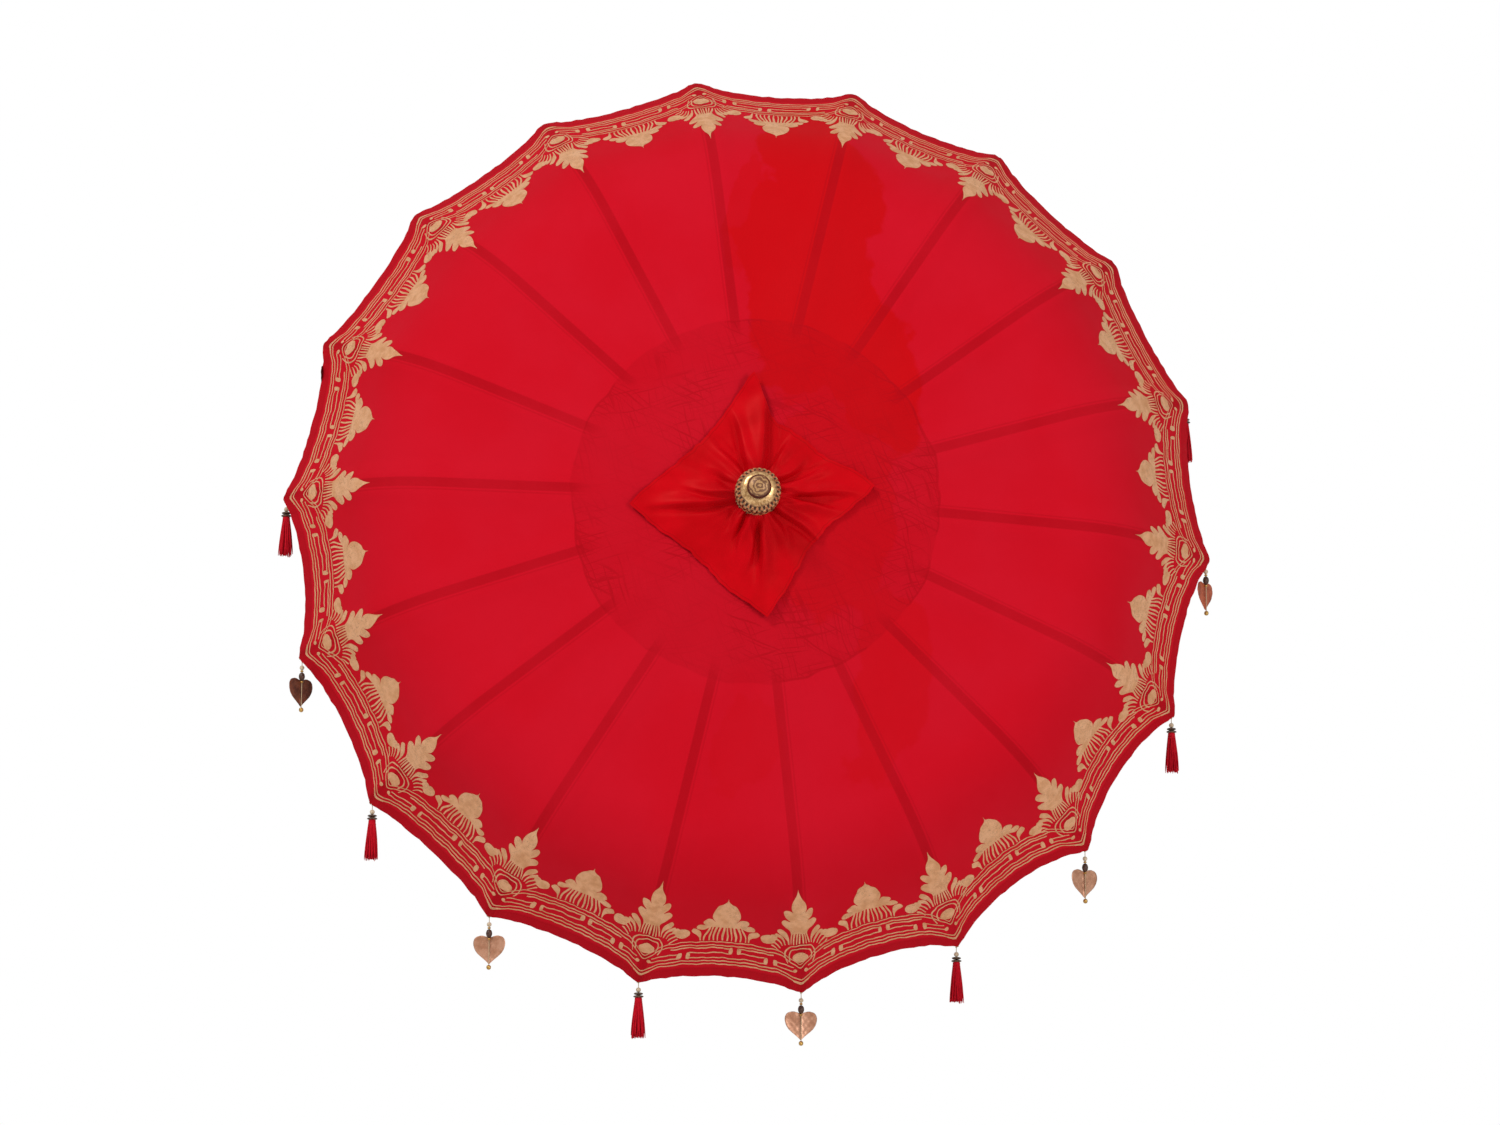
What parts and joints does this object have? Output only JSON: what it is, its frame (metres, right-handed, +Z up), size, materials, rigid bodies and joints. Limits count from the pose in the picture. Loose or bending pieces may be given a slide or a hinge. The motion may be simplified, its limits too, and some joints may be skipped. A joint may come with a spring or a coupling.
{
  "type": "folding parasol",
  "caption": "Red cloth folding parasol with curved ribs, stretchers and a sliding runner on a wooden pole, a scalloped hem, hanging charms and a turned gilded finial.",
  "frame": {"origin": "centre of the pole's foot end face", "axes": "the pole lies along Y: its foot is at the origin and the top of the canopy faces -Y, as a parasol set on its side. +Z is up, the charms hang along -Z, and +X is to the right for a viewer in front of the canopy. Turning the row by -90 degrees about X stands it upright"},
  "size_m": [1.8372, 2.373, 1.8948],
  "materials": {
    "pole_wood": "varnished",
    "turned_wood": "varnished",
    "gilded_wood": "antique gilding over carved wood",
    "red_cotton": "plain woven cotton with a painted gold border",
    "red_satin": "satin",
    "rib_wood": "plain",
    "red_yarn": "yarn",
    "copper_sheet": "thin copper sheet, lightly tarnished"
  },
  "bodies": {
    "pole_assembly": {"pole": "pole_wood", "crown": "turned_wood", "finial": "gilded_wood", "canopy": "red_cotton", "topper": "red_satin"},
    "runner": {"runner": "turned_wood"},
    "rib_01": {"rib_01": "rib_wood"},
    "stretcher_01": {"stretcher_01": "rib_wood"},
    "tassel_01": {"tassel_01": "red_yarn"},
    "rib_02": {"rib_02": "rib_wood"},
    "stretcher_02": {"stretcher_02": "rib_wood"},
    "heart_02": {"heart_02": "copper_sheet"},
    "rib_03": {"rib_03": "rib_wood"},
    "stretcher_03": {"stretcher_03": "rib_wood"},
    "tassel_03": {"tassel_03": "red_yarn"},
    "rib_04": {"rib_04": "rib_wood"},
    "stretcher_04": {"stretcher_04": "rib_wood"},
    "heart_04": {"heart_04": "copper_sheet"},
    "rib_05": {"rib_05": "rib_wood"},
    "stretcher_05": {"stretcher_05": "rib_wood"},
    "tassel_05": {"tassel_05": "red_yarn"},
    "rib_06": {"rib_06": "rib_wood"},
    "stretcher_06": {"stretcher_06": "rib_wood"},
    "heart_06": {"heart_06": "copper_sheet"},
    "rib_07": {"rib_07": "rib_wood"},
    "stretcher_07": {"stretcher_07": "rib_wood"},
    "tassel_07": {"tassel_07": "red_yarn"},
    "rib_08": {"rib_08": "rib_wood"},
    "stretcher_08": {"stretcher_08": "rib_wood"},
    "heart_08": {"heart_08": "copper_sheet"},
    "rib_09": {"rib_09": "rib_wood"},
    "stretcher_09": {"stretcher_09": "rib_wood"},
    "tassel_09": {"tassel_09": "red_yarn"},
    "rib_10": {"rib_10": "rib_wood"},
    "stretcher_10": {"stretcher_10": "rib_wood"},
    "heart_10": {"heart_10": "copper_sheet"},
    "rib_11": {"rib_11": "rib_wood"},
    "stretcher_11": {"stretcher_11": "rib_wood"},
    "tassel_11": {"tassel_11": "red_yarn"},
    "rib_12": {"rib_12": "rib_wood"},
    "stretcher_12": {"stretcher_12": "rib_wood"},
    "heart_12": {"heart_12": "copper_sheet"},
    "rib_13": {"rib_13": "rib_wood"},
    "stretcher_13": {"stretcher_13": "rib_wood"},
    "tassel_13": {"tassel_13": "red_yarn"},
    "rib_14": {"rib_14": "rib_wood"},
    "stretcher_14": {"stretcher_14": "rib_wood"},
    "heart_14": {"heart_14": "copper_sheet"},
    "rib_15": {"rib_15": "rib_wood"},
    "stretcher_15": {"stretcher_15": "rib_wood"},
    "tassel_15": {"tassel_15": "red_yarn"},
    "rib_16": {"rib_16": "rib_wood"},
    "stretcher_16": {"stretcher_16": "rib_wood"},
    "heart_16": {"heart_16": "copper_sheet"},
    "rib_17": {"rib_17": "rib_wood"},
    "stretcher_17": {"stretcher_17": "rib_wood"},
    "tassel_17": {"tassel_17": "red_yarn"},
    "rib_18": {"rib_18": "rib_wood"},
    "stretcher_18": {"stretcher_18": "rib_wood"},
    "heart_18": {"heart_18": "copper_sheet"}
  },
  "joints": [
    {"name": "canopy_fold", "type": "slide", "parent": "pole_assembly", "child": "runner", "axis": [0, 1, 0], "range_m": [0, 0.5435], "deforming": ["canopy", "topper", "tassel_01", "heart_02", "tassel_03", "heart_04", "tassel_05", "heart_06", "tassel_07", "heart_08", "tassel_09", "heart_10", "tassel_11", "heart_12", "tassel_13", "heart_14", "tassel_15", "heart_16", "tassel_17", "heart_18"]},
    {"name": "rib_01_hinge", "type": "hinge", "parent": "pole_assembly", "child": "rib_01", "pos_m": [-0.00467, -2.26, 0.03973], "axis": [-0.9932, 0, -0.1167], "range_deg": [0, 66]},
    {"name": "stretcher_01_hinge", "type": "hinge", "parent": "rib_01", "child": "stretcher_01", "pos_m": [-0.04377, -2.20224, 0.37257], "axis": [-0.9932, 0, -0.1167], "range_deg": [-132, 0]},
    {"name": "tassel_01_swing", "type": "hinge", "parent": "rib_01", "child": "tassel_01", "pos_m": [-0.10459, -1.8963, 0.89035], "axis": [-0.9932, 0, -0.1167], "range_deg": [-66, 0]},
    {"name": "rib_02_hinge", "type": "hinge", "parent": "pole_assembly", "child": "rib_02", "pos_m": [-0.01797, -2.26, 0.03574], "axis": [-0.8934, 0, -0.4493], "range_deg": [0, 66]},
    {"name": "stretcher_02_hinge", "type": "hinge", "parent": "rib_02", "child": "stretcher_02", "pos_m": [-0.16855, -2.20224, 0.33513], "axis": [-0.8934, 0, -0.4493], "range_deg": [-132, 0]},
    {"name": "heart_02_swing", "type": "hinge", "parent": "rib_02", "child": "heart_02", "pos_m": [-0.4028, -1.8963, 0.80088], "axis": [-0.8934, 0, -0.4493], "range_deg": [-66, 0]},
    {"name": "rib_03_hinge", "type": "hinge", "parent": "pole_assembly", "child": "rib_03", "pos_m": [-0.02911, -2.26, 0.02743], "axis": [-0.6858, 0, -0.7278], "range_deg": [0, 66]},
    {"name": "stretcher_03_hinge", "type": "hinge", "parent": "rib_03", "child": "stretcher_03", "pos_m": [-0.27301, -2.20224, 0.25727], "axis": [-0.6858, 0, -0.7278], "range_deg": [-132, 0]},
    {"name": "tassel_03_swing", "type": "hinge", "parent": "rib_03", "child": "tassel_03", "pos_m": [-0.65243, -1.8963, 0.61482], "axis": [-0.6858, 0, -0.7278], "range_deg": [-66, 0]},
    {"name": "rib_04_hinge", "type": "hinge", "parent": "pole_assembly", "child": "rib_04", "pos_m": [-0.03674, -2.26, 0.01582], "axis": [-0.3955, 0, -0.9184], "range_deg": [0, 66]},
    {"name": "stretcher_04_hinge", "type": "hinge", "parent": "rib_04", "child": "stretcher_04", "pos_m": [-0.34454, -2.20224, 0.14838], "axis": [-0.3955, 0, -0.9184], "range_deg": [-132, 0]},
    {"name": "heart_04_swing", "type": "hinge", "parent": "rib_04", "child": "heart_04", "pos_m": [-0.82336, -1.8963, 0.3546], "axis": [-0.3955, 0, -0.9184], "range_deg": [-66, 0]},
    {"name": "rib_05_hinge", "type": "hinge", "parent": "pole_assembly", "child": "rib_05", "pos_m": [-0.03993, -2.26, 0.0023], "axis": [-0.0576, 0, -0.9983], "range_deg": [0, 66]},
    {"name": "stretcher_05_hinge", "type": "hinge", "parent": "rib_05", "child": "stretcher_05", "pos_m": [-0.37451, -2.20224, 0.02159], "axis": [-0.0576, 0, -0.9983], "range_deg": [-132, 0]},
    {"name": "tassel_05_swing", "type": "hinge", "parent": "rib_05", "child": "tassel_05", "pos_m": [-0.89499, -1.8963, 0.0516], "axis": [-0.0576, 0, -0.9983], "range_deg": [-66, 0]},
    {"name": "rib_06_hinge", "type": "hinge", "parent": "pole_assembly", "child": "rib_06", "pos_m": [-0.03831, -2.26, -0.01149], "axis": [0.2874, 0, -0.9578], "range_deg": [0, 66]},
    {"name": "stretcher_06_hinge", "type": "hinge", "parent": "rib_06", "child": "stretcher_06", "pos_m": [-0.35931, -2.20224, -0.1078], "axis": [0.2874, 0, -0.9578], "range_deg": [-132, 0]},
    {"name": "heart_06_swing", "type": "hinge", "parent": "rib_06", "child": "heart_06", "pos_m": [-0.85866, -1.8963, -0.25761], "axis": [0.2874, 0, -0.9578], "range_deg": [-66, 0]},
    {"name": "rib_07_hinge", "type": "hinge", "parent": "pole_assembly", "child": "rib_07", "pos_m": [-0.03207, -2.26, -0.0239], "axis": [0.5976, 0, -0.8018], "range_deg": [0, 66]},
    {"name": "stretcher_07_hinge", "type": "hinge", "parent": "rib_07", "child": "stretcher_07", "pos_m": [-0.30077, -2.20224, -0.22419], "axis": [0.5976, 0, -0.8018], "range_deg": [-132, 0]},
    {"name": "tassel_07_swing", "type": "hinge", "parent": "rib_07", "child": "tassel_07", "pos_m": [-0.71877, -1.8963, -0.53575], "axis": [0.5976, 0, -0.8018], "range_deg": [-66, 0]},
    {"name": "rib_08_hinge", "type": "hinge", "parent": "pole_assembly", "child": "rib_08", "pos_m": [-0.02196, -2.26, -0.03343], "axis": [0.8358, 0, -0.549], "range_deg": [0, 66]},
    {"name": "stretcher_08_hinge", "type": "hinge", "parent": "rib_08", "child": "stretcher_08", "pos_m": [-0.20595, -2.20224, -0.31354], "axis": [0.8358, 0, -0.549], "range_deg": [-132, 0]},
    {"name": "heart_08_swing", "type": "hinge", "parent": "rib_08", "child": "heart_08", "pos_m": [-0.49218, -1.8963, -0.74928], "axis": [0.8358, 0, -0.549], "range_deg": [-66, 0]},
    {"name": "rib_09_hinge", "type": "hinge", "parent": "pole_assembly", "child": "rib_09", "pos_m": [-0.0092, -2.26, -0.03893], "axis": [0.9732, 0, -0.23], "range_deg": [0, 66]},
    {"name": "stretcher_09_hinge", "type": "hinge", "parent": "rib_09", "child": "stretcher_09", "pos_m": [-0.0863, -2.20224, -0.36507], "axis": [0.9732, 0, -0.23], "range_deg": [-132, 0]},
    {"name": "tassel_09_swing", "type": "hinge", "parent": "rib_09", "child": "tassel_09", "pos_m": [-0.20623, -1.8963, -0.87243], "axis": [0.9732, 0, -0.23], "range_deg": [-66, 0]},
    {"name": "rib_10_hinge", "type": "hinge", "parent": "pole_assembly", "child": "rib_10", "pos_m": [0.00467, -2.26, -0.03973], "axis": [0.9932, 0, 0.1167], "range_deg": [0, 66]},
    {"name": "stretcher_10_hinge", "type": "hinge", "parent": "rib_10", "child": "stretcher_10", "pos_m": [0.04377, -2.20224, -0.37257], "axis": [0.9932, 0, 0.1167], "range_deg": [-132, 0]},
    {"name": "heart_10_swing", "type": "hinge", "parent": "rib_10", "child": "heart_10", "pos_m": [0.10459, -1.8963, -0.89035], "axis": [0.9932, 0, 0.1167], "range_deg": [-66, 0]},
    {"name": "rib_11_hinge", "type": "hinge", "parent": "pole_assembly", "child": "rib_11", "pos_m": [0.01797, -2.26, -0.03574], "axis": [0.8934, 0, 0.4493], "range_deg": [0, 66]},
    {"name": "stretcher_11_hinge", "type": "hinge", "parent": "rib_11", "child": "stretcher_11", "pos_m": [0.16855, -2.20224, -0.33513], "axis": [0.8934, 0, 0.4493], "range_deg": [-132, 0]},
    {"name": "tassel_11_swing", "type": "hinge", "parent": "rib_11", "child": "tassel_11", "pos_m": [0.4028, -1.8963, -0.80088], "axis": [0.8934, 0, 0.4493], "range_deg": [-66, 0]},
    {"name": "rib_12_hinge", "type": "hinge", "parent": "pole_assembly", "child": "rib_12", "pos_m": [0.02911, -2.26, -0.02743], "axis": [0.6858, 0, 0.7278], "range_deg": [0, 66]},
    {"name": "stretcher_12_hinge", "type": "hinge", "parent": "rib_12", "child": "stretcher_12", "pos_m": [0.27301, -2.20224, -0.25727], "axis": [0.6858, 0, 0.7278], "range_deg": [-132, 0]},
    {"name": "heart_12_swing", "type": "hinge", "parent": "rib_12", "child": "heart_12", "pos_m": [0.65243, -1.8963, -0.61482], "axis": [0.6858, 0, 0.7278], "range_deg": [-66, 0]},
    {"name": "rib_13_hinge", "type": "hinge", "parent": "pole_assembly", "child": "rib_13", "pos_m": [0.03674, -2.26, -0.01582], "axis": [0.3955, 0, 0.9184], "range_deg": [0, 66]},
    {"name": "stretcher_13_hinge", "type": "hinge", "parent": "rib_13", "child": "stretcher_13", "pos_m": [0.34454, -2.20224, -0.14838], "axis": [0.3955, 0, 0.9184], "range_deg": [-132, 0]},
    {"name": "tassel_13_swing", "type": "hinge", "parent": "rib_13", "child": "tassel_13", "pos_m": [0.82336, -1.8963, -0.3546], "axis": [0.3955, 0, 0.9184], "range_deg": [-66, 0]},
    {"name": "rib_14_hinge", "type": "hinge", "parent": "pole_assembly", "child": "rib_14", "pos_m": [0.03993, -2.26, -0.0023], "axis": [0.0576, 0, 0.9983], "range_deg": [0, 66]},
    {"name": "stretcher_14_hinge", "type": "hinge", "parent": "rib_14", "child": "stretcher_14", "pos_m": [0.37451, -2.20224, -0.02159], "axis": [0.0576, 0, 0.9983], "range_deg": [-132, 0]},
    {"name": "heart_14_swing", "type": "hinge", "parent": "rib_14", "child": "heart_14", "pos_m": [0.89499, -1.8963, -0.0516], "axis": [0.0576, 0, 0.9983], "range_deg": [-66, 0]},
    {"name": "rib_15_hinge", "type": "hinge", "parent": "pole_assembly", "child": "rib_15", "pos_m": [0.03831, -2.26, 0.01149], "axis": [-0.2874, 0, 0.9578], "range_deg": [0, 66]},
    {"name": "stretcher_15_hinge", "type": "hinge", "parent": "rib_15", "child": "stretcher_15", "pos_m": [0.35931, -2.20224, 0.1078], "axis": [-0.2874, 0, 0.9578], "range_deg": [-132, 0]},
    {"name": "tassel_15_swing", "type": "hinge", "parent": "rib_15", "child": "tassel_15", "pos_m": [0.85866, -1.8963, 0.25761], "axis": [-0.2874, 0, 0.9578], "range_deg": [-66, 0]},
    {"name": "rib_16_hinge", "type": "hinge", "parent": "pole_assembly", "child": "rib_16", "pos_m": [0.03207, -2.26, 0.0239], "axis": [-0.5976, 0, 0.8018], "range_deg": [0, 66]},
    {"name": "stretcher_16_hinge", "type": "hinge", "parent": "rib_16", "child": "stretcher_16", "pos_m": [0.30077, -2.20224, 0.22419], "axis": [-0.5976, 0, 0.8018], "range_deg": [-132, 0]},
    {"name": "heart_16_swing", "type": "hinge", "parent": "rib_16", "child": "heart_16", "pos_m": [0.71877, -1.8963, 0.53575], "axis": [-0.5976, 0, 0.8018], "range_deg": [-66, 0]},
    {"name": "rib_17_hinge", "type": "hinge", "parent": "pole_assembly", "child": "rib_17", "pos_m": [0.02196, -2.26, 0.03343], "axis": [-0.8358, 0, 0.549], "range_deg": [0, 66]},
    {"name": "stretcher_17_hinge", "type": "hinge", "parent": "rib_17", "child": "stretcher_17", "pos_m": [0.20595, -2.20224, 0.31354], "axis": [-0.8358, 0, 0.549], "range_deg": [-132, 0]},
    {"name": "tassel_17_swing", "type": "hinge", "parent": "rib_17", "child": "tassel_17", "pos_m": [0.49218, -1.8963, 0.74928], "axis": [-0.8358, 0, 0.549], "range_deg": [-66, 0]},
    {"name": "rib_18_hinge", "type": "hinge", "parent": "pole_assembly", "child": "rib_18", "pos_m": [0.0092, -2.26, 0.03893], "axis": [-0.9732, 0, 0.23], "range_deg": [0, 66]},
    {"name": "stretcher_18_hinge", "type": "hinge", "parent": "rib_18", "child": "stretcher_18", "pos_m": [0.0863, -2.20224, 0.36507], "axis": [-0.9732, 0, 0.23], "range_deg": [-132, 0]},
    {"name": "heart_18_swing", "type": "hinge", "parent": "rib_18", "child": "heart_18", "pos_m": [0.20623, -1.8963, 0.87243], "axis": [-0.9732, 0, 0.23], "range_deg": [-66, 0]}
  ],
  "couplings": [
    {"joint": "rib_01_hinge", "follows": "canopy_fold", "rad_per_m": 2.1162},
    {"joint": "stretcher_01_hinge", "follows": "canopy_fold", "rad_per_m": -4.2324},
    {"joint": "tassel_01_swing", "follows": "canopy_fold", "rad_per_m": -2.1162},
    {"joint": "rib_02_hinge", "follows": "canopy_fold", "rad_per_m": 2.1162},
    {"joint": "stretcher_02_hinge", "follows": "canopy_fold", "rad_per_m": -4.2324},
    {"joint": "heart_02_swing", "follows": "canopy_fold", "rad_per_m": -2.1162},
    {"joint": "rib_03_hinge", "follows": "canopy_fold", "rad_per_m": 2.1162},
    {"joint": "stretcher_03_hinge", "follows": "canopy_fold", "rad_per_m": -4.2324},
    {"joint": "tassel_03_swing", "follows": "canopy_fold", "rad_per_m": -2.1162},
    {"joint": "rib_04_hinge", "follows": "canopy_fold", "rad_per_m": 2.1162},
    {"joint": "stretcher_04_hinge", "follows": "canopy_fold", "rad_per_m": -4.2324},
    {"joint": "heart_04_swing", "follows": "canopy_fold", "rad_per_m": -2.1162},
    {"joint": "rib_05_hinge", "follows": "canopy_fold", "rad_per_m": 2.1162},
    {"joint": "stretcher_05_hinge", "follows": "canopy_fold", "rad_per_m": -4.2324},
    {"joint": "tassel_05_swing", "follows": "canopy_fold", "rad_per_m": -2.1162},
    {"joint": "rib_06_hinge", "follows": "canopy_fold", "rad_per_m": 2.1162},
    {"joint": "stretcher_06_hinge", "follows": "canopy_fold", "rad_per_m": -4.2324},
    {"joint": "heart_06_swing", "follows": "canopy_fold", "rad_per_m": -2.1162},
    {"joint": "rib_07_hinge", "follows": "canopy_fold", "rad_per_m": 2.1162},
    {"joint": "stretcher_07_hinge", "follows": "canopy_fold", "rad_per_m": -4.2324},
    {"joint": "tassel_07_swing", "follows": "canopy_fold", "rad_per_m": -2.1162},
    {"joint": "rib_08_hinge", "follows": "canopy_fold", "rad_per_m": 2.1162},
    {"joint": "stretcher_08_hinge", "follows": "canopy_fold", "rad_per_m": -4.2324},
    {"joint": "heart_08_swing", "follows": "canopy_fold", "rad_per_m": -2.1162},
    {"joint": "rib_09_hinge", "follows": "canopy_fold", "rad_per_m": 2.1162},
    {"joint": "stretcher_09_hinge", "follows": "canopy_fold", "rad_per_m": -4.2324},
    {"joint": "tassel_09_swing", "follows": "canopy_fold", "rad_per_m": -2.1162},
    {"joint": "rib_10_hinge", "follows": "canopy_fold", "rad_per_m": 2.1162},
    {"joint": "stretcher_10_hinge", "follows": "canopy_fold", "rad_per_m": -4.2324},
    {"joint": "heart_10_swing", "follows": "canopy_fold", "rad_per_m": -2.1162},
    {"joint": "rib_11_hinge", "follows": "canopy_fold", "rad_per_m": 2.1162},
    {"joint": "stretcher_11_hinge", "follows": "canopy_fold", "rad_per_m": -4.2324},
    {"joint": "tassel_11_swing", "follows": "canopy_fold", "rad_per_m": -2.1162},
    {"joint": "rib_12_hinge", "follows": "canopy_fold", "rad_per_m": 2.1162},
    {"joint": "stretcher_12_hinge", "follows": "canopy_fold", "rad_per_m": -4.2324},
    {"joint": "heart_12_swing", "follows": "canopy_fold", "rad_per_m": -2.1162},
    {"joint": "rib_13_hinge", "follows": "canopy_fold", "rad_per_m": 2.1162},
    {"joint": "stretcher_13_hinge", "follows": "canopy_fold", "rad_per_m": -4.2324},
    {"joint": "tassel_13_swing", "follows": "canopy_fold", "rad_per_m": -2.1162},
    {"joint": "rib_14_hinge", "follows": "canopy_fold", "rad_per_m": 2.1162},
    {"joint": "stretcher_14_hinge", "follows": "canopy_fold", "rad_per_m": -4.2324},
    {"joint": "heart_14_swing", "follows": "canopy_fold", "rad_per_m": -2.1162},
    {"joint": "rib_15_hinge", "follows": "canopy_fold", "rad_per_m": 2.1162},
    {"joint": "stretcher_15_hinge", "follows": "canopy_fold", "rad_per_m": -4.2324},
    {"joint": "tassel_15_swing", "follows": "canopy_fold", "rad_per_m": -2.1162},
    {"joint": "rib_16_hinge", "follows": "canopy_fold", "rad_per_m": 2.1162},
    {"joint": "stretcher_16_hinge", "follows": "canopy_fold", "rad_per_m": -4.2324},
    {"joint": "heart_16_swing", "follows": "canopy_fold", "rad_per_m": -2.1162},
    {"joint": "rib_17_hinge", "follows": "canopy_fold", "rad_per_m": 2.1162},
    {"joint": "stretcher_17_hinge", "follows": "canopy_fold", "rad_per_m": -4.2324},
    {"joint": "tassel_17_swing", "follows": "canopy_fold", "rad_per_m": -2.1162},
    {"joint": "rib_18_hinge", "follows": "canopy_fold", "rad_per_m": 2.1162},
    {"joint": "stretcher_18_hinge", "follows": "canopy_fold", "rad_per_m": -4.2324},
    {"joint": "heart_18_swing", "follows": "canopy_fold", "rad_per_m": -2.1162}
  ]
}
